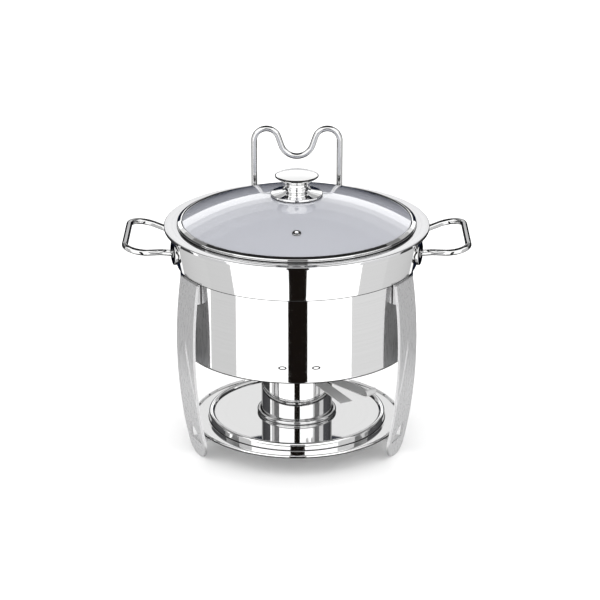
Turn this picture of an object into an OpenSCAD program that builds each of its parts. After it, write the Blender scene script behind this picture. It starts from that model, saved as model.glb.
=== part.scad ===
// Soup kettle: a round water-bath food warmer on three pressed legs, with a
// spirit burner under it, a glass lid and a wire rest that holds the lifted lid.
// Millimetres, +Z up, front is -Y. The origin is on the floor, under the middle.

/* [Legs and frame] */
// Height of the base plate's flange above the floor
base_z = 24; // [20:1:30]
// Outer radius of the base plate
base_r = 123.4; // [118:0.2:128]
// Height of the collar's lower edge above the floor
collar_low_z = 223; // [215:1:228]
// Outer radius of the collar at its lower edge
collar_low_r = 140; // [139.5:0.1:141]
// Outer radius of the collar at its top
collar_top_r = 149.8; // [149:0.1:150.4]
// Width of a leg
leg_w = 43; // [34:1:46]
// Thickness of a leg's metal
leg_t = 2.5; // [2:0.1:3]
// Largest distance from the axis to a leg's outer face
leg_bow_r = 148.4; // [147:0.1:150]

/* [Pans] */
// Height of the food pan's rim above the floor
rim_z = 268; // [266:0.5:272]
// Outer radius of the food pan's rim
rim_r = 154; // [153:0.5:155]
// Outer radius of the water pan
water_r = 136; // [130:1:136]
// Height of the water pan's bottom above the floor
water_low_z = 122; // [118:1:128]
// Outer radius of the food pan's wall
food_r = 128; // [124:1:130]
// Height of the food pan's bottom above the floor
food_low_z = 150; // [144:1:160]

/* [Lid] */
// Outer radius of the lid's steel band
band_r = 139; // [138:0.5:141]
// Height of the glass dome's top above the rim
dome_rise = 34.5; // [33:0.5:36]
// Thickness of the lid glass
glass_t = 3.4; // [3:0.1:3.6]
// Outer radius of the knob's cap
knob_r = 25; // [20:1:30]
// Outer radius of the knob's skirt
skirt_r = 30; // [26:1:34]
// Distance from the axis to the steam vent
vent_y = 95; // [60:1:110]

/* [Wires] */
// Radius of the handle and lid rest wire
wire_r = 3.6; // [3:0.1:4]
// Distance from the axis to the middle of a handle's bar
handle_x = 198; // [190:1:205]
// Upward slope of a handle, in degrees
handle_slope = 10; // [0:1:15]
// Half the width of the lid rest, between wire centres
rest_x = 52; // [48:1:56]
// Distance from the axis to the lid rest
rest_y = 150.5; // [150:0.5:152]
// Height of the lid rest's top above the floor
rest_top_z = 341; // [330:1:350]

/* [Burner] */
// Outer radius of the burner
burner_r = 41; // [38:1:42]
// Height of the burner's shell
burner_h = 54; // [45:1:58]
// Width of the burner's two strips
strip_w = 15; // [12:1:16]
// Length of the fixed strip from the burner's axis
grip_reach = 123; // [100:1:125]
// Length of the damper's lever from the burner's axis
lever_reach = 127; // [105:1:128]

/* [Hidden] */
$fn = 96;

// Smoothness of the large arcs that small pieces fit against
arc_fn = 720;

// Sheet thicknesses and the gap between pieces that lift apart
sheet_t = 1.2;
pan_t = 1;
gap = 0.3;

// Directions, in degrees from +X, counter-clockwise seen from above
front = 270;
leg_angles = [front - 60, front + 60, 90];
grip_angle = front + 28;
lever_angle = front + 43;

// Legs: the outer face is an arc in the side view
leg_arc_r = 540;
leg_arc_z = 140;
leg_top_z = collar_low_z - 1.5;
foot_z = 21;
window_low_z = base_z - 0.8;
window_h = 22.6;
window_w = 24;
tab_reach = 112;

// Base plate: a raised mirror-flat middle, a bead round it and a flat flange
plate_r = 98.8;
plate_z = base_z + 7;
flange_top_z = base_z + 0.2 + sheet_t;
bead_r = 3.2;

// Flanges, from the collar's top lip up to the rim
food_flange_z = rim_z - 1;
water_flange_z = food_flange_z - gap - pan_t;
collar_lip_z = water_flange_z - gap - sheet_t;
collar_slope = (collar_top_r - collar_low_r) / (collar_lip_z - collar_low_z);

// Lid: the glass is a slice of a sphere, held by a folded steel band
glass_edge_r = 136;
glass_edge_z = rim_z + 5.1;
dome_z = rim_z + dome_rise;
dome_r = (pow(glass_edge_r, 2) + pow(dome_z - glass_edge_z, 2)) / (2 * (dome_z - glass_edge_z));
dome_centre_z = dome_z - dome_r;
bolt_r = 4;
bolt_play = 0.1;
skirt_z = dome_z - 0.9;
ring_z = dome_z + 7.5;
cap_z = ring_z + 3;

// Handles: the wire lies in a sloping plane through its two plates
plate_angle = 15.2;
mount_z = collar_low_z + 21;
mount_r = collar_low_r + collar_slope * (mount_z - collar_low_z);
handle_plate_r = 14;
handle_plate_t = 2.5;

// Lid rest: two humps with a valley between them
hump_r = 15;
valley_r = 20;
lean = 19;
rest_low_z = 226;
socket_play = 0.05;

// Burner, from the plate up
shell_z = plate_z + gap;
shell_top_z = shell_z + burner_h;
cover_z = shell_top_z + gap;
damper_z = cover_z + sheet_t + gap;
neck_r = 20;
damper_r = 38;
vent_circle_r = 30.5;

// Points of an arc in the plane, from angle a to angle b in n steps
function arc(x, y, r, a, b, n) =
    [for (i = [0:n]) [x + r * cos(a + (b - a) * i / n), y + r * sin(a + (b - a) * i / n)]];

function unit(v) = v / norm(v);
function turn(a, b) = atan2(a.x * b.y - a.y * b.x, a * b);

// Outer radius of the collar's cone at height z
function cone_r(z) = collar_low_r + collar_slope * (z - collar_low_z);

// Height of the outer glass surface at distance r from the axis
function glass_z(r) = dome_centre_z + sqrt(dome_r * dome_r - r * r);

// The wire's cross-section: a regular polygon
module wire_section(r) {
    sides = 20;
    polygon([for (i = [0:sides - 1]) r * [cos(360 * i / sides), sin(360 * i / sides)]]);
}

// A wire of radius r through corner points in the XY plane. Corner i is bent
// to the centre-line radius bends[i]; the first and last entries are 0. The
// bends are a hair thicker, and the straight stretches run a little into them.
module bent_wire(points, bends, r) {
    swell = 0.03;
    run_in = 0.4;
    last = len(points) - 1;
    dir = [for (i = [1:last]) unit(points[i] - points[i - 1])];
    angle = [for (i = [0:last]) i == 0 || i == last ? 0 : turn(dir[i - 1], dir[i])];
    cut = [for (i = [0:last]) max(0, bends[i] * tan(abs(angle[i]) / 2) - run_in)];
    for (i = [1:last]) {
        start = points[i - 1] + dir[i - 1] * cut[i - 1];
        stop = points[i] - dir[i - 1] * cut[i];
        translate([start.x, start.y, 0])
            rotate([90, 0, atan2(dir[i - 1].y, dir[i - 1].x) + 90])
                linear_extrude(norm(stop - start))
                    wire_section(r);
    }
    for (i = [1:last - 1]) {
        side = sign(angle[i]);
        start = points[i] - dir[i - 1] * bends[i] * tan(abs(angle[i]) / 2);
        centre = start + side * bends[i] * [-dir[i - 1].y, dir[i - 1].x];
        heading = atan2(dir[i - 1].y, dir[i - 1].x) - side * 90;
        translate([centre.x, centre.y, 0])
            rotate([0, 0, side > 0 ? heading : heading + angle[i]])
                rotate_extrude(angle = abs(angle[i]))
                    translate([bends[i], 0])
                        wire_section(r + swell);
    }
}

// The solid inside the collar's outer cone, for pieces that fit against it
module collar_core() {
    low = collar_low_z - 20;
    high = collar_lip_z;
    translate([0, 0, low])
        cylinder(r1 = cone_r(low), r2 = cone_r(high), h = high - low, $fn = arc_fn);
}

module collar() {
    lip = 8;
    color("gainsboro")
        rotate_extrude()
            polygon([
                [collar_low_r - sheet_t, collar_low_z],
                [collar_low_r, collar_low_z],
                [collar_top_r, collar_lip_z],
                [collar_top_r, collar_lip_z + sheet_t],
                [collar_top_r - lip, collar_lip_z + sheet_t],
                [collar_top_r - lip, collar_lip_z],
                [collar_top_r - sheet_t, collar_lip_z]
            ]);
}

// The leg's front view, drawn in the YZ plane and extruded along X
module leg_outline() {
    corner = 1.6;
    rotate([90, 0, 90])
        linear_extrude(60)
            difference() {
                union() {
                    translate([-leg_w / 2, foot_z])
                        square([leg_w, leg_top_z - foot_z]);
                    intersection() {
                        translate([0, foot_z])
                            circle(r = leg_w / 2);
                        translate([-leg_w / 2, 0])
                            square([leg_w, foot_z + 1]);
                    }
                }
                polygon(concat(
                    arc(-window_w / 2 + corner, window_low_z + corner, corner, 180, 270, 5),
                    arc(window_w / 2 - corner, window_low_z + corner, corner, 270, 360, 5),
                    arc(0, window_low_z + window_h - 2 * corner, 2 * corner, 25, 155, 8)
                ));
            }
}

// A leg that stands along +X: a curved strip with a window and a bent-in tab
module leg(angle) {
    shell_x = leg_bow_r - leg_arc_r;
    root_x = leg_bow_r - leg_t - 12;
    color("lightgray")
        rotate([0, 0, angle]) {
            intersection() {
                translate([leg_bow_r - 55, 0, 0])
                    leg_outline();
                translate([shell_x, 0, leg_arc_z])
                    rotate([90, 0, 0])
                        difference() {
                            cylinder(r = leg_arc_r, h = leg_w + 10, center = true, $fn = arc_fn);
                            cylinder(r = leg_arc_r - leg_t, h = leg_w + 12, center = true, $fn = arc_fn);
                        }
            }
            translate([0, 0, base_z + 0.2 - leg_t])
                linear_extrude(leg_t)
                    polygon([
                        [tab_reach, -5],
                        [root_x, -window_w / 2 + 1],
                        [root_x, window_w / 2 - 1],
                        [tab_reach, 5]
                    ]);
        }
}

module leg_left() {
    leg(leg_angles[0]);
}

module leg_right() {
    leg(leg_angles[1]);
}

module leg_rear() {
    leg(leg_angles[2]);
}

// Joins a leg to the collar: a block behind the leg and a tongue inside the cone
module leg_bracket(angle) {
    inside_r = 137.2;
    low = collar_low_z - 25;
    tongue_h = 17;
    sweep = 12;
    inner = collar_low_r - sheet_t;
    grip = inner + collar_slope * tongue_h;
    color("silver")
        rotate([0, 0, angle]) {
            difference() {
                intersection() {
                    translate([inside_r - 10, -17, low])
                        cube([30, 34, leg_top_z - low]);
                    translate([leg_bow_r - leg_arc_r, 0, leg_arc_z])
                        rotate([90, 0, 0])
                            cylinder(r = leg_arc_r - leg_t, h = 60, center = true, $fn = arc_fn);
                }
                translate([0, 0, low - 1])
                    cylinder(r = inside_r, h = 60, $fn = arc_fn);
            }
            rotate([0, 0, -sweep / 2])
                rotate_extrude(angle = sweep)
                    polygon([
                        [inside_r - 0.01, leg_top_z - 4],
                        [inner, leg_top_z - 4],
                        [inner, collar_low_z],
                        [grip, collar_low_z + tongue_h],
                        [grip - sheet_t, collar_low_z + tongue_h],
                        [inside_r - 0.01, collar_low_z]
                    ]);
        }
}

module leg_bracket_left() {
    leg_bracket(leg_angles[0]);
}

module leg_bracket_right() {
    leg_bracket(leg_angles[1]);
}

module leg_bracket_rear() {
    leg_bracket(leg_angles[2]);
}

module base_plate() {
    low_z = base_z + 0.2;
    hem_r = 1.5;
    bead_x = plate_r + bead_r;
    color("whitesmoke")
        rotate_extrude()
            polygon(concat(
                [[0, plate_z], [plate_r, plate_z]],
                arc(bead_x, plate_z, bead_r, 180, 0, 12),
                arc(bead_x + bead_r + 1.5, flange_top_z + 1.5, 1.5, 180, 270, 4),
                arc(base_r - hem_r, low_z + hem_r, hem_r, 170, -90, 12),
                [[bead_x + bead_r - sheet_t, low_z]],
                arc(bead_x, plate_z, bead_r - sheet_t, 0, 180, 12),
                [[bead_x - bead_r + sheet_t, plate_z - sheet_t], [0, plate_z - sheet_t]]
            ));
}

// A wire hoop on the base plate that keeps the burner in the middle
module burner_ring() {
    hoop_r = 2.5;
    color("silver")
        translate([0, 0, plate_z + hoop_r])
            rotate_extrude()
                translate([burner_r + 1.1 + hoop_r, 0])
                    circle(r = hoop_r);
}

// The right handle's wire, bent in its own plane and tilted up
module handle() {
    root_r = mount_r + 1;
    root = root_r * [cos(plate_angle), sin(plate_angle)];
    knee = root + 16 * unit([1, 0.3]);
    elbow = [knee.x + 18, 54];
    corner = [handle_x, 54];
    half = [root, knee, elbow, corner];
    other = [for (i = [len(half) - 1:-1:0]) [half[i].x, -half[i].y]];
    color("silver")
        translate([root.x, 0, mount_z])
            rotate([0, -handle_slope, 0])
                translate([-root.x, 0, 0])
                    bent_wire(concat(half, other), [0, 24, 20, 18, 18, 20, 24, 0], wire_r);
}

module handle_right() {
    handle();
}

module handle_left() {
    mirror([1, 0, 0])
        handle();
}

// Two round plates that join a handle's ends to the collar
module handle_plates() {
    color("silver")
        for (side = [-1, 1])
            difference() {
                rotate([0, 0, side * plate_angle])
                    translate([mount_r - 4, 0, mount_z])
                        rotate([0, 90, 0])
                            cylinder(r = handle_plate_r, h = 4 + handle_plate_t);
                collar_core();
            }
}

module handle_plates_right() {
    handle_plates();
}

module handle_plates_left() {
    mirror([1, 0, 0])
        handle_plates();
}

// A tube on the collar's back that a foot of the lid rest stands in
module rest_socket() {
    tube_r = 6;
    tube_low_z = rest_low_z - 3;
    tube_h = 24;
    reach = norm([rest_x, rest_y]);
    color("silver")
        difference() {
            union() {
                translate([rest_x, rest_y, tube_low_z])
                    cylinder(r = tube_r, h = tube_h);
                rotate([0, 0, atan2(rest_y, rest_x)])
                    translate([collar_low_r, -2.5, tube_low_z + 2])
                        cube([reach - collar_low_r - 3, 5, tube_h - 4]);
            }
            translate([rest_x, rest_y, rest_low_z])
                cylinder(r = wire_r + socket_play, h = tube_h);
            collar_core();
        }
}

module rest_socket_right() {
    rest_socket();
}

module rest_socket_left() {
    mirror([1, 0, 0])
        rest_socket();
}

// The wire that holds the lifted lid: two feet, two humps and a valley
module lid_rest() {
    hump_z = rest_top_z - wire_r - hump_r;
    hump_corner_z = hump_z + hump_r * tan((180 - lean) / 2);
    valley_corner_z = hump_corner_z - rest_x / tan(lean);
    half = [[rest_x, rest_low_z + gap], [rest_x, hump_corner_z]];
    other = [for (i = [1:-1:0]) [-half[i].x, half[i].y]];
    color("silver")
        translate([0, rest_y, 0])
            rotate([90, 0, 0])
                bent_wire(concat(half, [[0, valley_corner_z]], other),
                          [0, hump_r, valley_r, hump_r, 0], wire_r);
}

module water_pan() {
    corner = 6;
    flange_r = 151.2;
    wall = water_r - pan_t;
    color("whitesmoke")
        rotate_extrude()
            polygon(concat(
                [[0, water_low_z]],
                arc(water_r - corner, water_low_z + corner, corner, 270, 360, 8),
                [[water_r, water_flange_z - 1.5], [water_r + 1.5, water_flange_z]],
                [[flange_r, water_flange_z], [flange_r, water_flange_z + pan_t]],
                [[water_r + 0.5, water_flange_z + pan_t], [wall, water_flange_z - 0.5]],
                arc(wall - corner + 1, water_low_z + corner, corner - 1, 360, 270, 8),
                [[0, water_low_z + pan_t]]
            ));
}

module food_pan() {
    corner = 20;
    lip_z = rim_z - 3.5;
    wall = food_r - pan_t;
    color("white")
        rotate_extrude()
            polygon(concat(
                [[0, food_low_z]],
                arc(food_r - corner, food_low_z + corner, corner, 270, 360, 12),
                [[food_r, food_flange_z - 1.5], [food_r + 1.5, food_flange_z]],
                [[rim_r - 1, food_flange_z], [rim_r - 1, lip_z], [rim_r, lip_z]],
                arc(rim_r - 1, rim_z - 1, 1, 0, 90, 4),
                [[food_r + 0.5, rim_z], [wall, rim_z - 1.5]],
                arc(wall - corner + 1, food_low_z + corner, corner - 1, 360, 270, 12),
                [[0, food_low_z + pan_t]]
            ));
}

// Sphere shell cut to a dome, with a hole for the knob's screw and one for the vent
module lid_glass() {
    hole_r = bolt_r + 0.5;
    color([0.8, 0.82, 0.88, 0.5])
        difference() {
            intersection() {
                translate([0, 0, dome_centre_z])
                    sphere(r = dome_r);
                translate([0, 0, rim_z])
                    cylinder(r = glass_edge_r, h = 60);
            }
            translate([0, 0, dome_centre_z])
                sphere(r = dome_r - glass_t);
            translate([0, 0, rim_z])
                cylinder(r = hole_r, h = 60);
            vent_place()
                translate([0, 0, -15])
                    cylinder(r = 3.5, h = 30);
        }
}

// Puts its children on the glass at the vent, upright on the surface
module vent_place() {
    translate([0, 0, dome_centre_z])
        rotate([asin(vent_y / dome_r), 0, 0])
            translate([0, 0, dome_r])
                children();
}

module lid_band() {
    plug_r = food_r - pan_t - 0.6;
    low_z = rim_z + gap;
    fold_z = low_z + 0.9;
    color("silver")
        rotate_extrude()
            polygon([
                [plug_r - 1.2, rim_z - 6],
                [plug_r, rim_z - 6],
                [plug_r, low_z],
                [band_r - 0.6, low_z],
                [band_r, low_z + 0.6],
                [band_r, glass_edge_z],
                [band_r - 1, glass_edge_z + 1],
                [glass_edge_r - 2, glass_z(glass_edge_r - 2) + 1.1],
                [glass_edge_r - 2, glass_z(glass_edge_r - 2) + 0.1],
                [glass_edge_r + 0.1, glass_edge_z + 0.1],
                [glass_edge_r + 0.1, fold_z],
                [plug_r - 1.2, fold_z]
            ]);
}

module vent_eyelet() {
    low = -glass_t - 0.3;
    color("silver")
        vent_place()
            rotate_extrude()
                polygon([
                    [1.5, low - 0.9],
                    [4.2, low - 0.9],
                    [4.2, low],
                    [3.2, low],
                    [3.2, 0.1],
                    [4.75, 0.1],
                    [4.75, 0.6],
                    [4, 1.1],
                    [2.2, 1.1],
                    [1.5, 0.4]
                ]);
}

module knob_gasket() {
    color("dimgray")
        translate([0, 0, dome_z + 0.05])
            difference() {
                cylinder(r = 13, h = 0.85);
                translate([0, 0, -1])
                    cylinder(r = bolt_r + bolt_play, h = 5);
            }
}

module knob_skirt() {
    hollow_z = dome_z + 0.9;
    color("whitesmoke")
        rotate_extrude()
            polygon([
                [bolt_r + bolt_play, hollow_z],
                [skirt_r - 3, hollow_z],
                [skirt_r - 2, skirt_z],
                [skirt_r - 0.6, skirt_z],
                [skirt_r, skirt_z + 0.6],
                [skirt_r, skirt_z + 2.4],
                [skirt_r - 1.2, skirt_z + 3.1],
                [17, dome_z + 4],
                [13.5, dome_z + 5.4],
                [12.4, ring_z],
                [bolt_r + bolt_play, ring_z]
            ]);
}

module knob_ring() {
    color("silver")
        translate([0, 0, ring_z])
            difference() {
                cylinder(r = 13.4, h = cap_z - ring_z);
                translate([0, 0, -1])
                    cylinder(r = bolt_r + bolt_play, h = 5);
            }
}

module knob_cap() {
    edge_z = cap_z + 11;
    top_z = cap_z + 16.5;
    bore_h = 8;
    color("whitesmoke")
        rotate_extrude()
            polygon(concat(
                [[bolt_r + bolt_play, cap_z], [12, cap_z], [14.5, cap_z + 4]],
                [[knob_r - 1.5, edge_z - 1], [knob_r - 0.3, edge_z]],
                [[knob_r, edge_z + 1], [knob_r, edge_z + 2]],
                [for (i = [1:8]) [knob_r * cos(i * 11.25), edge_z + 2 + (top_z - edge_z - 2) * sin(i * 11.25)]],
                [[0, cap_z + bore_h], [bolt_r + bolt_play, cap_z + bore_h]]
            ));
}

module knob_screw() {
    head_z = dome_z - glass_t - 4.2;
    color("silver")
        translate([0, 0, head_z]) {
            cylinder(r = 7, h = 2.2);
            cylinder(r = bolt_r, h = cap_z + 7 - head_z);
        }
}

module knob_washer() {
    color("silver")
        translate([0, 0, dome_z - glass_t - 1.95])
            difference() {
                cylinder(r = 11, h = 1.2);
                translate([0, 0, -1])
                    cylinder(r = bolt_r + bolt_play, h = 5);
            }
}

module burner_shell() {
    corner = 3;
    color("silver")
        rotate_extrude()
            polygon(concat(
                [[0, shell_z]],
                arc(burner_r - corner, shell_z + corner, corner, 270, 360, 6),
                [[burner_r, shell_top_z], [burner_r - pan_t, shell_top_z]],
                arc(burner_r - corner, shell_z + corner, corner - pan_t, 360, 270, 6),
                [[0, shell_z + pan_t]]
            ));
}

// The open cup inside the burner that holds the fuel
module fuel_cup() {
    cup_r = burner_r - 4;
    cup_h = burner_h - 12;
    color("gray")
        translate([0, 0, shell_z + pan_t])
            difference() {
                cylinder(r = cup_r, h = cup_h);
                translate([0, 0, pan_t])
                    cylinder(r = cup_r - pan_t, h = cup_h);
            }
}

// Holes through the cover and the damper that line up when the damper is open
module vent_holes() {
    for (i = [0:5])
        rotate([0, 0, lever_angle + 30 + 60 * i])
            translate([vent_circle_r, 0, cover_z - 1])
                cylinder(r = 4.5, h = 6);
}

module burner_cover() {
    skirt_in = burner_r + 0.35;
    skirt_out = skirt_in + 0.9;
    skirt_h = 6;
    rim = neck_r + sheet_t;
    flare_z = damper_z + sheet_t + gap;
    color("silver")
        difference() {
            rotate_extrude()
                polygon([
                    [neck_r, cover_z],
                    [skirt_in, cover_z],
                    [skirt_in, cover_z - skirt_h],
                    [skirt_out, cover_z - skirt_h],
                    [skirt_out, cover_z + sheet_t - 0.5],
                    [skirt_out - 0.5, cover_z + sheet_t],
                    [rim, cover_z + sheet_t],
                    [rim, flare_z],
                    [rim + 1.8, flare_z + 0.6],
                    [rim + 1.8, flare_z + 1.4],
                    [neck_r, flare_z + 1.4]
                ]);
            vent_holes();
        }
}

module carry_strip() {
    strip_t = sheet_t;
    root = damper_r + 0.8;
    color("darkgray")
        rotate([0, 0, grip_angle])
            translate([root, -strip_w / 2, cover_z + sheet_t])
                cube([grip_reach - root, strip_w, strip_t]);
}

module damper_disc() {
    color("silver")
        difference() {
            translate([0, 0, damper_z])
                cylinder(r = damper_r, h = sheet_t);
            translate([0, 0, damper_z - 1])
                cylinder(r = neck_r + sheet_t + 0.05, h = 5);
            vent_holes();
        }
}

// Flat lever that rides above the carry strip, with a curled finger end
module damper_lever() {
    strip_t = sheet_t;
    curl_r = 4.5;
    tip = lever_reach - curl_r;
    low = damper_z + sheet_t;
    color("darkgray")
        rotate([0, 0, lever_angle])
            translate([0, strip_w / 2, 0])
                rotate([90, 0, 0])
                    linear_extrude(strip_w)
                        polygon(concat(
                            [[neck_r + 6, low], [tip, low]],
                            arc(tip, low + curl_r, curl_r, 275, 430, 9),
                            arc(tip, low + curl_r, curl_r - strip_t, 430, 275, 9),
                            [[tip, low + strip_t], [neck_r + 6, low + strip_t]]
                        ));
}

collar();
leg_left();
leg_right();
leg_rear();
leg_bracket_left();
leg_bracket_right();
leg_bracket_rear();
base_plate();
burner_ring();
handle_left();
handle_right();
handle_plates_left();
handle_plates_right();
rest_socket_left();
rest_socket_right();
lid_rest();
water_pan();
food_pan();
lid_glass();
lid_band();
vent_eyelet();
knob_gasket();
knob_skirt();
knob_ring();
knob_cap();
knob_screw();
knob_washer();
burner_shell();
fuel_cup();
burner_cover();
carry_strip();
damper_disc();
damper_lever();
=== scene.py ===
import math

import bmesh
import bpy
from mathutils import Matrix, Vector


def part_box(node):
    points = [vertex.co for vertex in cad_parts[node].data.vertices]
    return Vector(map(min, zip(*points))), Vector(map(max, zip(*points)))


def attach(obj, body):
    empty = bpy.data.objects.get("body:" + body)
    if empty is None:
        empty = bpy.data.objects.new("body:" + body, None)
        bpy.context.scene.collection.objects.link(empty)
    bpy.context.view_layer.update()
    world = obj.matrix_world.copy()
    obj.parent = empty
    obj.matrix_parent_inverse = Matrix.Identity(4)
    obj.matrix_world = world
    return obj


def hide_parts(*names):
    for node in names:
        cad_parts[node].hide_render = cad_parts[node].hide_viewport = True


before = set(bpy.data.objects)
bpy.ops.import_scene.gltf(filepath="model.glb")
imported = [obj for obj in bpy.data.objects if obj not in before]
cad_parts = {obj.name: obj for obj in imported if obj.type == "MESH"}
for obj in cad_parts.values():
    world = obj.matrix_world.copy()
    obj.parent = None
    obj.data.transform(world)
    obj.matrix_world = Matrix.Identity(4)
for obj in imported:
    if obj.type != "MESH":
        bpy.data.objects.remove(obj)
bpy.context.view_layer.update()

MM = 0.001
FRONT = 270
SIDES = 256
BEND_STEP = math.radians(7)
SHARP_ANGLE = math.radians(32)
HOLD = 0.3


# ---------------------------------------------------------------- shape tools

def reach(node):
    """Outer radius of a round CAD node."""
    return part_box(node)[1].x / MM


def low(node):
    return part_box(node)[0].z / MM


def high(node):
    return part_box(node)[1].z / MM


def heading(angle):
    """Turns a piece made along +X to a direction seen from above."""
    return Matrix.Rotation(math.radians(angle), 4, "Z")


def arc(x, y, radius, start, end, steps):
    """Points of an arc, as corners without a bend."""
    angles = [math.radians(start + (end - start) * i / steps) for i in range(steps + 1)]
    return [(x + radius * math.cos(a), y + radius * math.sin(a), 0) for a in angles]


def bend(corners, i):
    """Points of corner i, which is (x, y, bend radius)."""
    here = Vector(corners[i][:2])
    radius = corners[i][2]
    if radius == 0:
        return [here]
    before = (Vector(corners[i - 1][:2]) - here).normalized()
    after = (Vector(corners[(i + 1) % len(corners)][:2]) - here).normalized()
    inside = before.angle(after)
    centre = here + (before + after).normalized() * radius / math.sin(inside / 2)
    start = here + before * radius / math.tan(inside / 2) - centre
    side = 1 if before.cross(after) < 0 else -1
    steps = max(2, math.ceil((math.pi - inside) / BEND_STEP))
    turn = side * (math.pi - inside) / steps
    return [centre + Matrix.Rotation(turn * k, 2) @ start for k in range(steps + 1)]


def rounded(corners, closed=True):
    """The line through corners (x, y, bend radius). A straight stretch next to a bend
    gets a point close to each end, so that smooth shading leaves it flat."""
    bends = [bend(corners, i) for i in range(len(corners))]
    line = []
    for i, points in enumerate(bends):
        line += points
        if i == len(bends) - 1 and not closed:
            break
        following = bends[(i + 1) % len(bends)]
        gap = following[0] - points[-1]
        if max(len(points), len(following)) > 1 and gap.length > 4 * HOLD:
            line += [points[-1] + gap.normalized() * HOLD, following[0] - gap.normalized() * HOLD]
    return line


def shade(mesh):
    """Smooth shading with sharp edges kept, and faces that point outwards."""
    shape = bmesh.new()
    shape.from_mesh(mesh)
    bmesh.ops.recalc_face_normals(shape, faces=shape.faces)
    shape.to_mesh(mesh)
    shape.free()
    mesh.polygons.foreach_set("use_smooth", [True] * len(mesh.polygons))
    mesh.set_sharp_from_angle(angle=SHARP_ANGLE)


def solid(name, verts, faces):
    """An object from points in millimetres."""
    mesh = bpy.data.meshes.new(name)
    mesh.from_pydata([Vector(v) * MM for v in verts], [], faces)
    shade(mesh)
    piece = bpy.data.objects.new(name, mesh)
    bpy.context.scene.collection.objects.link(piece)
    return piece


def moved(piece, matrix):
    """Moves a piece's mesh by a matrix in millimetres."""
    matrix = matrix.copy()
    matrix.translation *= MM
    piece.data.transform(matrix)
    return piece


def merged(name, parts):
    """One object from several."""
    shape = bmesh.new()
    for part in parts:
        shape.from_mesh(part.data)
        bpy.data.objects.remove(part)
    mesh = bpy.data.meshes.new(name)
    shape.to_mesh(mesh)
    shape.free()
    piece = bpy.data.objects.new(name, mesh)
    bpy.context.scene.collection.objects.link(piece)
    return piece


def lathe(name, outline, sides=SIDES):
    """A closed outline of (distance from the axis, height), turned round the Z axis."""
    turns = [math.tau * k / sides for k in range(sides)]
    verts = []
    rings = []
    for r, z in (p[:2] for p in outline):
        ring = turns if r > 0.001 else [0]
        rings.append([len(verts) + k for k in range(len(ring))])
        verts += [(r * math.cos(a), r * math.sin(a), z) for a in ring]
    faces = []
    for ring, other in zip(rings, rings[1:] + rings[:1]):
        for k in range(sides):
            face = [ring[k % len(ring)], ring[(k + 1) % len(ring)],
                    other[(k + 1) % len(other)], other[k % len(other)]]
            face = list(dict.fromkeys(face))
            if len(face) > 2:
                faces.append(face)
    return solid(name, verts, faces)


def sweep(name, path, section):
    """A closed section of (across, up) offsets, carried along a path in the XY plane."""
    path = [Vector((p[0], p[1], 0)) for p in path]
    count = len(section)
    verts = []
    for i, point in enumerate(path):
        ahead = path[min(i + 1, len(path) - 1)] - point
        behind = point - path[max(i - 1, 0)]
        along = (ahead.normalized() + behind.normalized()).normalized()
        across = Vector((-along.y, along.x, 0))
        verts += [point + across * a + Vector((0, 0, u)) for a, u in section]
    faces = [list(range(count)), list(range(len(verts) - count, len(verts)))]
    for i in range(0, len(verts) - count, count):
        for k in range(count):
            n = (k + 1) % count
            faces.append([i + k, i + n, i + count + n, i + count + k])
    return solid(name, verts, faces)


def round_section(radius, sides=28):
    turns = [math.tau * k / sides for k in range(sides)]
    return [(radius * math.cos(a), radius * math.sin(a)) for a in turns]


def flat_section(thickness, width, edge):
    t, w = thickness / 2, width / 2
    corners = [(-t, -w, edge), (t, -w, edge), (t, w, edge), (-t, w, edge)]
    return [tuple(p) for p in rounded(corners)]


def prism(name, outline, height):
    """An outline in the XY plane, with straight sides up to height."""
    count = len(outline)
    verts = [(p[0], p[1], z) for z in (0, height) for p in outline]
    faces = [list(range(count)), list(range(count, 2 * count))]
    faces += [[k, (k + 1) % count, count + (k + 1) % count, count + k] for k in range(count)]
    return solid(name, verts, faces)


def cut(piece, cutter):
    """Subtracts a cutter from a piece."""
    modifier = piece.modifiers.new("cut", "BOOLEAN")
    modifier.operation = "DIFFERENCE"
    modifier.solver = "EXACT"
    modifier.object = cutter
    bpy.context.view_layer.update()
    shaped = bpy.data.meshes.new_from_object(piece.evaluated_get(bpy.context.evaluated_depsgraph_get()))
    piece.modifiers.clear()
    piece.data = shaped
    bpy.data.objects.remove(cutter)
    shade(shaped)
    return piece


def place(piece, body, slot, material, *nodes):
    """Gives a piece its material and its body, and hides the CAD nodes that it stands for.
    slot is not used; a piece with a finish of its own is given None."""
    piece.data.materials.clear()
    piece.data.materials.append(material)
    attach(piece, body)
    if nodes:
        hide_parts(*nodes)
    return piece


# ---------------------------------------------------------------- materials

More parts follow.
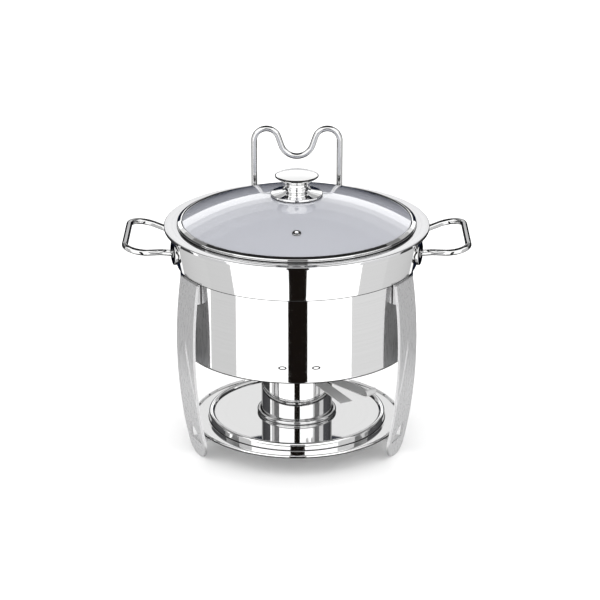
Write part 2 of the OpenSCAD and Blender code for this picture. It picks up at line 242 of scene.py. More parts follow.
class Nodes:
    """A new material's node tree, with short calls to add and link nodes."""

    def __init__(self, name):
        self.material = bpy.data.materials.new(name)
        self.material.use_nodes = True
        self.tree = self.material.node_tree
        self.shader = self.tree.nodes["Principled BSDF"]

    def add(self, kind, inputs=None, **settings):
        node = self.tree.nodes.new(kind)
        for key, value in settings.items():
            setattr(node, key, value)
        for key, value in (inputs or {}).items():
            self.put(node.inputs[key], value)
        return node

    def put(self, socket, value):
        if isinstance(value, bpy.types.NodeSocket):
            self.tree.links.new(value, socket)
        else:
            socket.default_value = value

    def set(self, **inputs):
        for key, value in inputs.items():
            self.put(self.shader.inputs[key.replace("_", " ")], value)

    def spread(self, value, low, high, start=0.3, end=0.7):
        """Maps a noise value to the range from low to high."""
        ranges = {"Value": value, "From Min": start, "From Max": end, "To Min": low, "To Max": high}
        return self.add("ShaderNodeMapRange", ranges).outputs["Result"]

    def stretched_noise(self, scale, detail=4):
        """Noise stretched along the axes by the three numbers in scale."""
        place_from = self.add("ShaderNodeTexCoord").outputs["Object"]
        mapping = self.add("ShaderNodeMapping", {"Vector": place_from, "Scale": scale})
        settings = {"Vector": mapping.outputs["Vector"], "Scale": 1.0, "Detail": detail}
        return self.add("ShaderNodeTexNoise", settings).outputs["Fac"]

    def turned_noise(self, radial, upright):
        """Noise that runs in rings round the Z axis, as left by turning and polishing."""
        place_from = self.add("ShaderNodeTexCoord").outputs["Object"]
        parts = self.add("ShaderNodeSeparateXYZ", {"Vector": place_from})
        flat = self.add("ShaderNodeCombineXYZ", {"X": parts.outputs["X"], "Y": parts.outputs["Y"]})
        distance = self.add("ShaderNodeVectorMath", {0: flat.outputs["Vector"]}, operation="LENGTH")
        out = self.add("ShaderNodeMath", {0: distance.outputs["Value"], 1: radial}, operation="MULTIPLY")
        up = self.add("ShaderNodeMath", {0: parts.outputs["Z"], 1: upright}, operation="MULTIPLY")
        rings = self.add("ShaderNodeCombineXYZ", {"X": out.outputs[0], "Y": up.outputs[0]})
        settings = {"Vector": rings.outputs["Vector"], "Scale": 1.0}
        return self.add("ShaderNodeTexNoise", settings).outputs["Fac"]

    def bump(self, height, strength, distance):
        inputs = {"Height": height, "Strength": strength, "Distance": distance}
        return self.add("ShaderNodeBump", inputs).outputs["Normal"]


def steel(name, tone, roughness, grain, waves=0.0, edge=0.35, metallic=1.0):
    """Steel with fine grain in its roughness and, if asked, a slight waviness. edge is how
    much it reflects near its outline. Real steel is fully metallic: a lower value was only
    chosen to bring a piece to the photograph's brightness among the cards below."""
    nodes = Nodes(name)
    noise = grain(nodes)
    nodes.set(Metallic=metallic, Roughness=nodes.spread(noise, *roughness))
    nodes.set(Specular_Tint=(edge, edge, edge, 1))
    darker = [c * 0.97 for c in tone] + [1]
    mix = nodes.add("ShaderNodeMix", {"Factor": nodes.spread(noise, 0, 1)}, data_type="RGBA")
    nodes.put(mix.inputs[6], (*tone, 1))
    nodes.put(mix.inputs[7], darker)
    nodes.set(Base_Color=mix.outputs[2])
    if waves:
        wave = nodes.stretched_noise((14, 14, 9), detail=1)
        nodes.set(Normal=nodes.bump(wave, waves, 0.001))
    return nodes.material


def turned_grain(nodes):
    return nodes.turned_noise(900, 700)


def fine_grain(nodes):
    return nodes.stretched_noise((700, 700, 500))


def upright_grain(nodes):
    return nodes.stretched_noise((1400, 1400, 40))


def glass_material():
    """Greyer and less clear than real glass, chosen for the photograph's brightness."""
    nodes = Nodes("lid_glass")
    smear = nodes.stretched_noise((20, 20, 20))
    nodes.set(Base_Color=(0.60, 0.61, 0.66, 1), Transmission_Weight=0.35, IOR=1.46,
              Roughness=nodes.spread(smear, 0.0, 0.03), Coat_Weight=1.0, Coat_IOR=1.6, Coat_Roughness=0.01)
    return nodes.material


def rubber_material():
    nodes = Nodes("gasket_rubber")
    noise = nodes.stretched_noise((900, 900, 900))
    nodes.set(Base_Color=(0.03, 0.03, 0.032, 1), Roughness=nodes.spread(noise, 0.5, 0.75))
    nodes.set(Normal=nodes.bump(noise, 0.2, 0.0002))
    return nodes.material


POLISHED = steel("polished_steel", (0.93, 0.93, 0.93), (0.02, 0.06), turned_grain, waves=0.05, edge=0.75)
WIRE = steel("wire_steel", (0.72, 0.72, 0.72), (0.03, 0.08), fine_grain, edge=0.1)
SATIN = steel("satin_steel", (0.62, 0.62, 0.625), (0.24, 0.36), upright_grain, edge=0.6, metallic=0.5)
# A paler, less metallic copy of the polished steel for the knob's crown: a painted highlight on the knob's
# top.
PAINTED_HIGHLIGHT = steel("crown_painted_highlight", (0.92, 0.92, 0.92), (0.04, 0.10), turned_grain, edge=1.0, metallic=0.3)
PAN = steel("pan_steel", (0.90, 0.90, 0.91), (0.04, 0.10), turned_grain)
BURNER = steel("burner_steel", (0.90, 0.90, 0.90), (0.03, 0.08), turned_grain)
STRIP = steel("strip_steel", (0.60, 0.60, 0.60), (0.30, 0.42), fine_grain, edge=1.0, metallic=0.25)
# Near-black steel for thin rings and marks of painted shade and painted reflection.
PAINTED_OUTLINE = steel("painted_outline_steel", (0.05, 0.05, 0.05), (0.30, 0.42), fine_grain)
GLASS = glass_material()
RUBBER = rubber_material()

SHEET = 1.2
WIRE_R = 3.6


def thin_ring_section(r, z, half_thickness):
    return arc(r, z, half_thickness, 0, 315, 7)


def painted_outline_rings(name, body, lines):
    """Thin dark rings (radius, height, half thickness) of painted shade and painted reflection along edges,
    that stand for the photograph's dark
    outlines. They are invented: none of the edges is known to be rolled or joined."""
    rings = [lathe("line", thin_ring_section(*line)) for line in lines]
    place(merged(name, rings), body, None, PAINTED_OUTLINE)


# ---------------------------------------------------------------- frame: collar, base and wires

COLLAR_LOW_R = 140
MOUNT_Z = 244


def make_collar():
    top_r, low_z, top_z = reach("collar"), low("collar"), high("collar")
    lip_z = top_z - SHEET
    outline = rounded([
        (COLLAR_LOW_R - SHEET, low_z, 0.3),
        (COLLAR_LOW_R, low_z, 0.5),
        (top_r, lip_z, 0.6),
        (top_r, top_z, 0.4),
        (top_r - 8, top_z, 0.3),
        (top_r - 8, lip_z, 0.3),
        (top_r - SHEET, lip_z, 0),
    ])
    place(lathe("kettle_collar", outline), "frame", "polished_steel", POLISHED, "collar")
    # A dark ring of painted shade and painted reflection under the collar's lower edge.
    painted_outline_rings("collar_painted_outline", "frame", [(COLLAR_LOW_R - 0.3, low_z + 0.35, 0.6)])


def make_base():
    plate_r, bead_r = 98.8, 3.2
    edge_r, low_z, top_z = reach("base_plate"), low("base_plate"), high("base_plate")
    plate_z = top_z - bead_r
    flange_z = low_z + SHEET
    bead_x = plate_r + bead_r
    hem = 1.5
    outline = rounded(
        [(0, plate_z, 0), (plate_r - 0.6, plate_z, 0.3)]
        + arc(bead_x, plate_z, bead_r, 165, 15, 14)
        + [(bead_x + bead_r, flange_z, 1.2), (edge_r - 2.4 * hem, flange_z, 1.5)]
        + arc(edge_r - hem, low_z + hem, hem, 110, -90, 12)
        + [(bead_x + bead_r - SHEET, low_z, 0)]
        + arc(bead_x, plate_z, bead_r - SHEET, 0, 180, 10)
        + [(plate_r, plate_z - SHEET, 0), (0, plate_z - SHEET, 0)]
    )
    place(lathe("base_dish", outline), "frame", "polished_steel", POLISHED, "base_plate")
    # Dark rings of painted shade and painted reflection along the base's hem, flange and bead.
    painted_outline_rings("base_painted_outlines", "frame", [
        (edge_r - 0.5, low_z + 0.5, 0.8),
        (bead_x + bead_r + 0.2, flange_z + 0.2, 0.6),
        (plate_r - 0.1, plate_z + 0.1, 0.55),
    ])


def make_burner_ring():
    low_z, top_z = low("burner_ring"), high("burner_ring")
    hoop_r = (top_z - low_z) / 2
    outline = arc(reach("burner_ring") - hoop_r, low_z + hoop_r, hoop_r, 0, 352, 44)
    place(lathe("burner_hoop", outline), "frame", "wire_steel", WIRE, "burner_ring")


def mount_radius():
    """Outer radius of the collar where the handles are fixed."""
    rise = (MOUNT_Z - low("collar")) / (high("collar") - SHEET - low("collar"))
    return COLLAR_LOW_R + rise * (reach("collar") - COLLAR_LOW_R)


PLATE_ANGLE = 15.2


def make_handle(side, name):
    """side is 1 for the right handle and -1 for the left one."""
    bar_x, half_w, slope = 198, 54, 10
    root = Vector((math.cos(math.radians(PLATE_ANGLE)), math.sin(math.radians(PLATE_ANGLE))))
    root *= mount_radius() + 1
    knee = root + 16 * Vector((1, 0.3)).normalized()
    half = [(*root, 0), (*knee, 24), (knee.x + 18, half_w, 20), (bar_x, half_w, 18)]
    whole = half + [(x, -y, r) for x, y, r in reversed(half)]
    path = rounded([(side * x, y, r) for x, y, r in whole], closed=False)
    wire = sweep(f"handle_wire_{name}", path, round_section(WIRE_R))
    hinge = Matrix.Translation((side * root.x, 0, MOUNT_Z))
    tilt = Matrix.Rotation(math.radians(-side * slope), 4, "Y")
    moved(wire, hinge @ tilt @ Matrix.Translation((-side * root.x, 0, 0)))
    place(wire, "frame", "wire_steel", WIRE, f"handle_{name}")


def make_handle_plates(side, name):
    """Two round plates with a soft edge and a raised weld collar round the wire."""
    outline = rounded([
        (0, -0.8, 0),
        (14, -0.8, 0),
        (14, 2.5, 0.9),
        (5.4, 2.5, 0.4),
        (4.6, 3.2, 0.4),
        (0, 3.2, 0),
    ])
    outward = Matrix.Translation((mount_radius(), 0, MOUNT_Z)) @ Matrix.Rotation(math.pi / 2, 4, "Y")
    middle = 0 if side > 0 else 180
    plates = [moved(lathe("plate", outline, 96), heading(middle + a) @ outward)
              for a in (-PLATE_ANGLE, PLATE_ANGLE)]
    plate = merged(f"handle_mounts_{name}", plates)
    place(plate, "frame", "wire_steel", WIRE, f"handle_plates_{name}")


def make_lid_rest():
    half_w, hump_r, valley_r, lean = 52, 15, 20, 19
    top_z, low_z = high("lid_rest"), low("lid_rest")
    low_y, high_y = (v.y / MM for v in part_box("lid_rest"))
    hump_z = top_z - WIRE_R - hump_r
    peak_z = hump_z + hump_r * math.tan(math.radians((180 - lean) / 2))
    valley_z = peak_z - half_w / math.tan(math.radians(lean))
    corners = [(half_w, low_z, 0), (half_w, peak_z, hump_r), (0, valley_z, valley_r),
               (-half_w, peak_z, hump_r), (-half_w, low_z, 0)]
    wire = sweep("lid_rest_wire", rounded(corners, closed=False), round_section(WIRE_R))
    upright = Matrix.Translation((0, (low_y + high_y) / 2, 0)) @ Matrix.Rotation(math.pi / 2, 4, "X")
    moved(wire, upright)
    place(wire, "lid_rest", "wire_steel", WIRE, "lid_rest")


# ---------------------------------------------------------------- frame: legs

LEG_W = 43
LEG_T = 2.5
LEG_BOW_R = 148.4
LEG_ARC_R = 540
LEG_ARC_Z = 140
FOOT_Z = 21
CREASE_TOP_Z = 152
CREASE_LOW_Z = 74
CREASE_DEPTH = 1.1
TOE_SLANT = 0.3


def leg_radius(z):
    """Distance from the axis to the leg's outer face at height z."""
    return LEG_BOW_R - LEG_ARC_R + math.sqrt(LEG_ARC_R ** 2 - (z - LEG_ARC_Z) ** 2)


def toe_slant(along, z, side):
    """The toes are cut on a slant, so that those of the front legs look level from the front."""
    share = min(1, max(0, (FOOT_Z + 24 - z) / 24))
    return TOE_SLANT * side * along * share


def leg_relief(along, z, edge, side):
    """How far the face lies behind the leg's plain arc: positive at the soft outline, and
    negative on the crease, which stands proud and opens from mid-width to both edges.
    along runs over the width, and edge is the distance to the outline."""
    soft = 1.8
    rim = soft - math.sqrt(max(0, soft ** 2 - max(0, soft - edge) ** 2))
    share = (CREASE_TOP_Z - z) / (CREASE_TOP_Z - CREASE_LOW_Z)
    if share <= 0:
        return rim
    outer = -0.72 * LEG_W / 2 * min(1, share * 3) ** 0.6
    inner = (0.05 + 0.95 * min(1, share)) * LEG_W / 2
    inside = min(along * side - outer, inner - along * side)
    fade = min(1, share * 5) * (1 - 0.75 * min(1, max(0, share - 0.8)))
    return rim - CREASE_DEPTH * fade * min(1, max(0, inside) / 1.1)


def leg_outline_rows():
    """Rows of (height, half width) from the leg's top down to the toe."""
    top_z = high("leg_left")
    straight = 170
    rows = [(top_z - (top_z - FOOT_Z) * i / straight, LEG_W / 2) for i in range(straight + 1)]
    toe = 24
    for i in range(1, toe + 1):
        a = math.pi / 2 * i / toe * 0.985
        rows.append((FOOT_Z - LEG_W / 2 * math.sin(a), LEG_W / 2 * math.cos(a)))
    return rows


def leg_columns():
    """Places across the width from -1 to 1, closer together at the soft edges."""
    edge = [1 - d / (LEG_W / 2) for d in (0, 0.25, 0.6, 1.1, 1.8)]
    middle = [i / 20 * edge[-1] for i in range(20)]
    half = middle + edge[::-1]
    return [-a for a in half[:0:-1]] + half


def leg_strip(side):
    columns = leg_columns()
    rows = leg_outline_rows()
    width = len(columns)
    front = []
    back = []
    for z, half in rows:
        for a in columns:
            along = a * half
            edge = LEG_W / 2 - max(abs(along), math.hypot(along, min(0, z - FOOT_Z)))
            height = max(0.05, z + toe_slant(along, z, side))
            arc_r = leg_radius(height)
            front.append((arc_r - leg_relief(along, height, edge, side), along, height))
            back.append((arc_r - LEG_T, along, height))
    verts = front + back
    faces = []
    for r in range(len(rows) - 1):
        for c in range(width - 1):
            k = r * width + c
            face = [k, k + 1, k + 1 + width, k + width]
            faces.append(face)
            faces.append([i + len(front) for i in reversed(face)])
    rim = list(range(width))
    rim += [r * width + width - 1 for r in range(1, len(rows))]
    rim += [(len(rows) - 1) * width + c for c in range(width - 2, -1, -1)]
    rim += [r * width for r in range(len(rows) - 2, 0, -1)]
    for a, b in zip(rim, rim[1:] + rim[:1]):
        faces.append([a, b, b + len(front), a + len(front)])
    return solid("leg", verts, faces)


def leg_window(side):
    """The cut-out above the toe, as a cutter through the leg."""
    low_z = low("base_plate") - 1
    corners = [(-11 * side, low_z + 1, 1.2), (15 * side, low_z - 1, 0.8), (6 * side, low_z + 14, 14),
               (-6.5 * side, low_z + 23, 0.6)]
    if side < 0:
        corners.reverse()
    cutter = prism("window", rounded(corners), 40)
    # The outline's height turns to Z, and the cutter runs outwards along +X.
    upright = Matrix(((0, 0, 1), (1, 0, 0), (0, 1, 0))).to_4x4()
    return moved(cutter, Matrix.Translation((110, 0, 0)) @ upright)


def leg_tab():
    """The metal from the window, bent in to carry the base."""
    top_z = low("base_plate")
    tab = prism("tab", rounded([(112, -5, 2), (134, -11, 0), (134, 11, 0), (112, 5, 2)]), LEG_T)
    return moved(tab, Matrix.Translation((0, 0, top_z - LEG_T)))


def make_leg(name, angle, side):
    """side is the direction, seen from outside, that the crease opens towards."""
    strip = cut(leg_strip(side), leg_window(side))
    leg = merged(f"leg_pressing_{name}", [strip, leg_tab()])
    moved(leg, heading(angle))
    place(leg, "frame", "satin_steel", SATIN, f"leg_{name}")


# ---------------------------------------------------------------- pans

def make_water_pan():
    wall_r, flange_r = 136, reach("water_pan")
    low_z, top_z = low("water_pan"), high("water_pan")
    outline = rounded([
        (0, low_z, 0),
        (wall_r, low_z, 2.2),
        (wall_r, top_z - 1, 1.2),
        (flange_r, top_z - 1, 0.2),
        (flange_r, top_z, 0.2),
        (wall_r - 1, top_z, 1.8),
        (wall_r - 1, low_z + 1, 1.6),
        (0, low_z + 1, 0),
    ])
    pan = lathe("water_pan_shell", outline)
    marks = [oval_mark(x, wall_r, low_z + 19) for x in (-16, 22)]
    place(pan, "water_pan", "polished_steel", POLISHED, "water_pan")
    # The marks are thin dark rings of painted shade and painted reflection.
    place(merged("pan_marks", marks), "water_pan", None, PAINTED_OUTLINE)
    # Dark rings of painted shade and painted reflection along the pan's lower edge and flange.
    painted_outline_rings("pan_painted_outlines", "water_pan", [(wall_r - 0.6, low_z + 0.75, 0.7), (flange_r - 0.3, top_z - 0.9, 0.5)])


def oval_mark(x, wall_r, z):
    """A small oval ring on the pan's front, for a mark that may also be a reflection. Its dark colour is
    painted shade and painted reflection, not the steel's own colour.
    """
    outline = thin_ring_section(4.0, 0, 0.95)
    squeeze = Matrix.Diagonal((1, 0.42, 1, 1))
    face = Matrix.Rotation(math.pi / 2, 4, "X")
    y = -math.sqrt(wall_r ** 2 - x ** 2)
    spin = Matrix.Rotation(math.atan2(x, -y), 4, "Z")
    return moved(lathe("mark", outline, 48), Matrix.Translation((x, y, z)) @ spin @ face @ squeeze)


def make_food_pan():
    wall_r, rim_r = 128, reach("food_pan")
    low_z, rim_z = low("food_pan"), high("food_pan")
    outline = rounded([
        (0, low_z, 0),
        (wall_r, low_z, 20),
        (wall_r, rim_z - 1, 1.5),
        (rim_r - 1, rim_z - 1, 0),
        (rim_r - 1, rim_z - 3.5, 0.2),
        (rim_r, rim_z - 3.5, 0.3),
        (rim_r, rim_z, 1.1),
        (wall_r - 1, rim_z, 2),
        (wall_r - 1, low_z + 1, 19),
        (0, low_z + 1, 0),
    ])
    place(lathe("food_pan_shell", outline), "food_pan", "pan_steel", PAN, "food_pan")


# ---------------------------------------------------------------- lid

GLASS_EDGE_R = 136
GLASS_T = 3.4
GLASS_EDGE_RISE = 2.9
DOME_RISE = 34.5


def dome():
    """Height of the dome's top, and radius and centre height of its outer surface."""
    top_z = high("food_pan") + DOME_RISE
    rise = DOME_RISE - GLASS_EDGE_RISE
    radius = (GLASS_EDGE_R ** 2 + rise ** 2) / (2 * rise)
    return top_z, radius, top_z - radius


def make_glass():
    top_z, radius, centre_z = dome()
    edge = math.degrees(math.acos(GLASS_EDGE_R / radius))
    hole = math.degrees(math.acos(4.5 / radius))
    outline = arc(0, centre_z, radius, hole, edge + 0.15, 40)
    outline += arc(0, centre_z, radius - GLASS_T, edge + 0.35, hole, 40)
    place(lathe("lid_dome", outline), "lid", "lid_glass", GLASS, "lid_glass")


def make_band():
    top_z, radius, centre_z = dome()
    band_r, rim_z = reach("lid_band"), high("food_pan")
    plug_r = 126.4
    inner_r = GLASS_EDGE_R - 2.8
    edge_z = rim_z + GLASS_EDGE_RISE
    glass_z = centre_z + math.sqrt(radius ** 2 - inner_r ** 2)
    outline = rounded([
        (plug_r - 1.2, rim_z - 6, 0.4),
        (plug_r, rim_z - 6, 0.4),
        (plug_r, rim_z + 0.3, 0.3),
        (band_r, rim_z + 0.3, 0.5),
        (band_r, rim_z + 1.5, 0.5),
        (band_r - 0.9, rim_z + 1.7, 0.2),
        (band_r - 0.4, rim_z + 2.0, 0.4),
        (band_r - 0.4, edge_z + 0.6, 1.0),
        (inner_r + 1.2, glass_z + 1.2, 0.6),
        (inner_r, glass_z + 0.7, 0.4),
        (inner_r, glass_z + 0.1, 0),
        (GLASS_EDGE_R + 0.2, edge_z + 0.1, 0),
        (GLASS_EDGE_R + 0.2, rim_z + 1.2, 0),
        (plug_r - 1.2, rim_z + 1.2, 0),
    ])
    place(lathe("lid_edge_band", outline), "lid", "polished_steel", POLISHED, "lid_band")
    # Dark rings of painted shade and painted reflection along the band's edges and round the glass.
    painted_outline_rings("band_painted_outlines", "lid", [
        (band_r - 0.3, rim_z + 0.6, 0.45),
        (band_r - 0.8, rim_z + 1.75, 0.45),
        (inner_r + 0.1, glass_z + 0.4, 0.45),
    ])


def make_eyelet():
    top_z, radius, centre_z = dome()
    vent_y = 95
    outline = rounded([
        (1.3, -4.6, 0), (4.2, -4.6, 0.3), (4.2, -3.6, 0), (3.3, -3.6, 0),
        (3.3, 0.05, 0), (4.75, 0.05, 0), (4.75, 1.1, 0.6), (2.4, 1.3, 0.5), (1.3, 0.2, 0.3),
    ])
    lean = Matrix.Rotation(math.asin(vent_y / radius), 4, "X")
    on_dome = Matrix.Translation((0, 0, centre_z)) @ lean @ Matrix.Translation((0, 0, radius))
    eyelet = moved(lathe("vent_grommet", outline, 64), on_dome)
    place(eyelet, "lid", "polished_steel", POLISHED, "vent_eyelet")
    # A dark ring of painted shade and painted reflection round the grommet's edge.
    edge = moved(lathe("vent_painted_outline", thin_ring_section(4.6, 0.3, 0.55), 64), on_dome)
    place(edge, "lid", None, PAINTED_OUTLINE)


BOLT_R = 4.1


def make_knob_skirt():
    top_z = dome()[0]
    low_z, ring_z, skirt_r = low("knob_skirt"), high("knob_skirt"), reach("knob_skirt")
    outline = rounded([
        (BOLT_R, top_z + 0.9, 0),
        (skirt_r - 3, top_z + 0.9, 0.3),
        (skirt_r - 2, low_z, 0.2),
        (skirt_r, low_z, 0.6),
        (skirt_r, low_z + 2.9, 0.9),
        (16.5, top_z + 4.1, 4),
        (12.6, top_z + 5.6, 1.6),
        (12.4, ring_z, 0.2),
        (BOLT_R, ring_z, 0),
    ])
    place(lathe("knob_foot", outline, 128), "lid", "polished_steel", POLISHED, "knob_skirt")


def make_knob_ring():
    low_z, top_z = low("knob_ring"), high("knob_ring")
    outer = reach("knob_ring")
    outline = rounded([
        (BOLT_R, low_z, 0),
        (12.2, low_z, 0),
        (outer, low_z + 0.4, 0.9),
        (outer, top_z - 0.4, 0.9),
        (12.2, top_z, 0),
        (BOLT_R, top_z, 0),
    ])
    place(lathe("knob_waist", outline, 128), "lid", "polished_steel", POLISHED, "knob_ring")


def make_knob_cap():
    low_z, top_z, knob_r = low("knob_cap"), high("knob_cap"), reach("knob_cap")
    edge_z = low_z + 12
    skin = 0.15
    rise = top_z - skin - edge_z
    crown = [(knob_r * math.cos(a), edge_z + rise * math.sin(a), 0)
             for a in (math.radians(3.6 * i) for i in range(1, 25))]
    outline = rounded(
        [(BOLT_R, low_z, 0), (12, low_z, 0.3), (14.2, low_z + 4, 4), (knob_r - 1, edge_z - 1.6, 1.2),
         (knob_r, edge_z, 0)] + crown + [(0, top_z - skin, 0), (0, low_z + 8, 0), (BOLT_R, low_z + 8, 0)]
    )
    place(lathe("knob_top", outline, 128), "lid", "polished_steel", POLISHED, "knob_cap")
    # The crown is lighter than the neck in the photograph, so it has a skin of its own: a paler, less
    # metallic copy of the steel, a painted highlight on the knob's top.
    over_crown = [(r * 0.99, z + skin, 0) for r, z, bend_radius in crown]
    over_crown += [(0, top_z, 0), (0, edge_z, 0), (knob_r * 0.98, edge_z, 0)]
    place(lathe("knob_crown", over_crown, 128), "lid", "polished_steel", PAINTED_HIGHLIGHT)
    skirt_r, skirt_z = reach("knob_skirt"), low("knob_skirt")
    # Dark rings of painted shade and painted reflection at the knob top's edge and the foot's lower edge.
    painted_outline_rings("knob_painted_outlines", "lid", [(knob_r - 0.4, edge_z, 0.8), (skirt_r - 0.3, skirt_z + 0.4, 0.5)])


# ---------------------------------------------------------------- burner

def can_radius():
    """The can and its cover are flush."""
    return reach("burner_cover") - 0.25


def make_burner_cover():
    """A plug-fit cover with a flared neck and six vents, in line with the damper's at rest."""
    edge_r, plug_r, neck_r = can_radius(), reach("burner_shell") - 1.4, 20
    low_z, top_z = high("burner_shell") + 0.3, high("burner_cover")
    outline = rounded([
        (neck_r, low_z, 0.4),
        (plug_r - 0.9, low_z, 0.4),
        (plug_r - 0.9, low_z - 6, 0.3),
        (plug_r, low_z - 6, 0.3),
        (plug_r, low_z, 0),
        (edge_r, low_z, 0.3),
        (edge_r, low_z + SHEET, 0.6),
        (neck_r + SHEET, low_z + SHEET, 0.3),
        (neck_r + SHEET, top_z - 1.2, 0.3),
        (neck_r + 3, top_z - 0.8, 0.3),
        (neck_r + 3, top_z, 0.3),
        (neck_r, top_z, 0.8),
    ])
    cover = cut(lathe("burner_lid", outline, 128), vent_cutter(low_z))
    place(cover, "burner_cover", "burner_steel", BURNER, "burner_cover")


def vent_cutter(z):
    """Six upright cylinders in a circle."""
    vent_r, vent_circle_r = 4.5, 30.5
    hole = rounded([(0, z - 2, 0), (vent_r, z - 2, 0), (vent_r, z + 5, 0), (0, z + 5, 0)])
    outwards = Matrix.Translation((vent_circle_r, 0, 0))
    vents = [moved(lathe("vent", hole, 40), heading(LEVER_ANGLE + 30 + 60 * i) @ outwards) for i in range(6)]
    return merged("vents", vents)


def make_burner():
    shell_r, low_z, top_z = can_radius(), low("burner_shell"), high("burner_shell")
    outline = rounded([
        (0, low_z, 0),
        (shell_r, low_z, 2.5),
        (shell_r, top_z, 0.3),
        (shell_r - 1.2, top_z, 0.3),
        (shell_r - 1.2, low_z + 1, 2),
        (0, low_z + 1, 0),
    ])
    place(lathe("burner_can", outline), "burner", "burner_steel", BURNER, "burner_shell")


GRIP_ANGLE = FRONT + 28
LEVER_ANGLE = FRONT + 43
STRIP_W = 15


def upright_strip(name, path, thickness, angle):
    """A flat strip whose path is (distance from the axis, height)."""
    strip = sweep(name, path, flat_section(thickness, STRIP_W, 0.35))
    return moved(strip, heading(angle) @ Matrix.Rotation(math.pi / 2, 4, "X"))


def make_strips():
    mid_z = (low("carry_strip") + high("carry_strip")) / 2
    grip = upright_strip("carry_handle", [(38.8, mid_z), (60, mid_z), (122.6, mid_z)], SHEET, GRIP_ANGLE)
    place(grip, "burner_cover", "strip_steel", STRIP, "carry_strip")
    curl_r, reach_r = 4.5, 127
    lever_z = low("damper_lever") + SHEET / 2
    tip = reach_r - curl_r
    curl = arc(tip, lever_z + curl_r - SHEET / 2, curl_r - SHEET / 2, 275, 430, 16)
    path = [(26, lever_z), (60, lever_z), (tip - 2, lever_z)] + [p[:2] for p in curl]
    lever = upright_strip("damper_handle", path, SHEET, LEVER_ANGLE)
    place(lever, "damper", "strip_steel", STRIP, "damper_lever")


# ---------------------------------------------------------------- CAD nodes that stay

def dress_kept_nodes():
    """CAD nodes that stay visible get the finish of their neighbours."""
    finishes = {
        "leg_bracket_left": SATIN, "leg_bracket_right": SATIN, "leg_bracket_rear": SATIN,
        "rest_socket_left": WIRE, "rest_socket_right": WIRE,
        "knob_gasket": RUBBER, "knob_screw": BURNER, "knob_washer": BURNER,
        "fuel_cup": BURNER, "damper_disc": BURNER,
    }
    for node, material in finishes.items():
        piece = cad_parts[node]
        piece.data.materials.clear()
        piece.data.materials.append(material)


# ---------------------------------------------------------------- studio

CARD_R = 1500
FAR = 8000
DARK = (0.03, 0.03, 0.03)


def emitter(name, colour):
    material = bpy.data.materials.new(name)
    material.use_nodes = True
    tree = material.node_tree
    tree.nodes.remove(tree.nodes["Principled BSDF"])
    light = tree.nodes.new("ShaderNodeEmission")
    light.inputs["Color"].default_value = (*colour, 1)
    tree.links.new(light.outputs["Emission"], tree.nodes["Material Output"].inputs["Surface"])
    return material


def stage_card(panel, colour):
    """Only reflections see a card."""
    panel.data.materials.append(emitter(panel.name, colour))
    panel.visible_camera = False
    panel.visible_diffuse = False
    panel.visible_shadow = False
    panel.visible_transmission = False


def card(name, start, end, low_z, high_z, colour, radius=CARD_R):
    """A curved panel round the kettle that only polished surfaces see. start and end
    are degrees from the front, positive to the right."""
    steps = 24
    angles = [math.radians(start + (end - start) * i / steps) for i in range(steps + 1)]
    verts = [(radius * math.sin(a), -radius * math.cos(a), z) for a in angles for z in (low_z, high_z)]
    faces = [[2 * i, 2 * i + 2, 2 * i + 3, 2 * i + 1] for i in range(steps)]
    stage_card(solid(name, verts, faces), colour)


def both_sides(name, start, end, low_z, high_z, colour, radius):
    """A panel to the right, from start to end degrees from the front, and its mirror image."""
    card(f"{name}_right", start, end, low_z, high_z, colour, radius)
    card(f"{name}_left", -end, -start, low_z, high_z, colour, radius)


def disc(name, z, colour):
    """A round panel straight above or below."""
    turns = [math.tau * k / 48 for k in range(48)]
    panel = solid(name, [(FAR * math.cos(a), FAR * math.sin(a), z) for a in turns], [list(range(48))])
    stage_card(panel, colour)


def make_near_cards():
    """The stripes on the pan and, below split, on the collar."""
    below, split, above = -4000, -650, 900
    card("card_black", -8, 10, -2300, above, (0.008, 0.006, 0.005), CARD_R - 100)
    card("card_grey_left", -90, -59, split, above, (0.66, 0.66, 0.66))
    card("card_grey_right", 53, 96, split, above, (0.75, 0.75, 0.75))
    card("card_collar_left", -96, -67, below, split, (0.66, 0.66, 0.66))
    card("card_collar_right", 66, 96, below, split, (0.72, 0.72, 0.72))


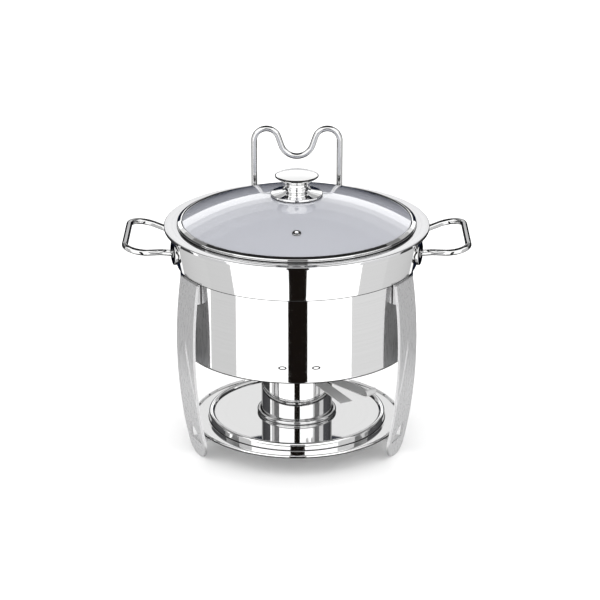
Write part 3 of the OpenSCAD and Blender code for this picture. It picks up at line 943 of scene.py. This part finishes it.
def make_far_cards():
    """Behind the kettle: a grey card low down for the collar, a dark one at eye level for the
    glass and for outlines, a grey one for the base, and darker ones higher up for edges."""
    disc_z, past_disc_z = 13800, 13900
    low_z, level_z, high_z = -3600, 1980, 4100
    card("card_back", 150, 210, low_z, level_z, (0.008, 0.012, 0.026), FAR)
    card("card_back_grey", 150, 210, 3270, high_z, (0.90, 0.90, 0.90), FAR)
    both_sides("card_side", 99, 150, low_z, level_z, (0.05, 0.05, 0.05), FAR)
    both_sides("card_side_high", 97, 150, level_z, high_z, (0.09, 0.09, 0.095), FAR)
    both_sides("card_low", 92, 180, -past_disc_z, -3850, (0.68, 0.68, 0.68), FAR)
    both_sides("card_high_light", 97, 180, high_z, 5600, (0.50, 0.50, 0.50), FAR)
    both_sides("card_high_grey", 97, 180, 5600, 7600, (0.22, 0.22, 0.22), FAR)
    both_sides("card_high_dark", 97, 180, 7600, past_disc_z, DARK, FAR)
    disc("card_above", disc_z, (0.02, 0.02, 0.02))
    disc("card_below", -disc_z, DARK)


def make_floor():
    """A pale floor, which reflections don't see."""
    size = 15000
    verts = [(-size, -size, 0), (size, -size, 0), (size, size, 0), (-size, size, 0)]
    floor = solid("floor", verts, [[0, 1, 2, 3]])
    nodes = Nodes("floor_paper")
    noise = nodes.stretched_noise((3, 3, 3))
    tone = nodes.spread(noise, 0.93, 0.95)
    grey = nodes.add("ShaderNodeCombineColor", {"Red": tone, "Green": tone, "Blue": tone})
    nodes.set(Base_Color=grey.outputs["Color"], Roughness=0.9)
    floor.data.materials.append(nodes.material)
    floor.visible_glossy = False


def make_world():
    world = bpy.data.worlds.new("studio")
    world.use_nodes = True
    background = world.node_tree.nodes["Background"]
    background.inputs["Color"].default_value = (1, 1, 1, 1)
    background.inputs["Strength"].default_value = 1.5
    bpy.context.scene.world = world
    bpy.context.scene.view_settings.view_transform = "Standard"


def make_camera():
    """Far in front and above, looking down on the kettle with a long lens."""
    look_down = 20.72
    data = bpy.data.cameras.new("camera")
    data.lens = 132.66
    camera = bpy.data.objects.new("camera", data)
    camera.location = Vector((3.8, -2431.8, 1091.7)) * MM
    camera.rotation_euler = (math.radians(90 - look_down), 0, 0)
    bpy.context.scene.collection.objects.link(camera)
    bpy.context.scene.camera = camera


# ---------------------------------------------------------------- build

make_collar()
make_base()
make_burner_ring()
for handle_side, handle_name in ((1, "right"), (-1, "left")):
    make_handle(handle_side, handle_name)
    make_handle_plates(handle_side, handle_name)
make_lid_rest()
make_leg("left", FRONT - 60, 1)
make_leg("right", FRONT + 60, -1)
make_leg("rear", 90, 1)
make_water_pan()
make_food_pan()
make_glass()
make_band()
make_eyelet()
make_knob_skirt()
make_knob_ring()
make_knob_cap()
make_burner()
make_burner_cover()
make_strips()
dress_kept_nodes()
make_near_cards()
make_far_cards()
make_floor()
make_world()
make_camera()
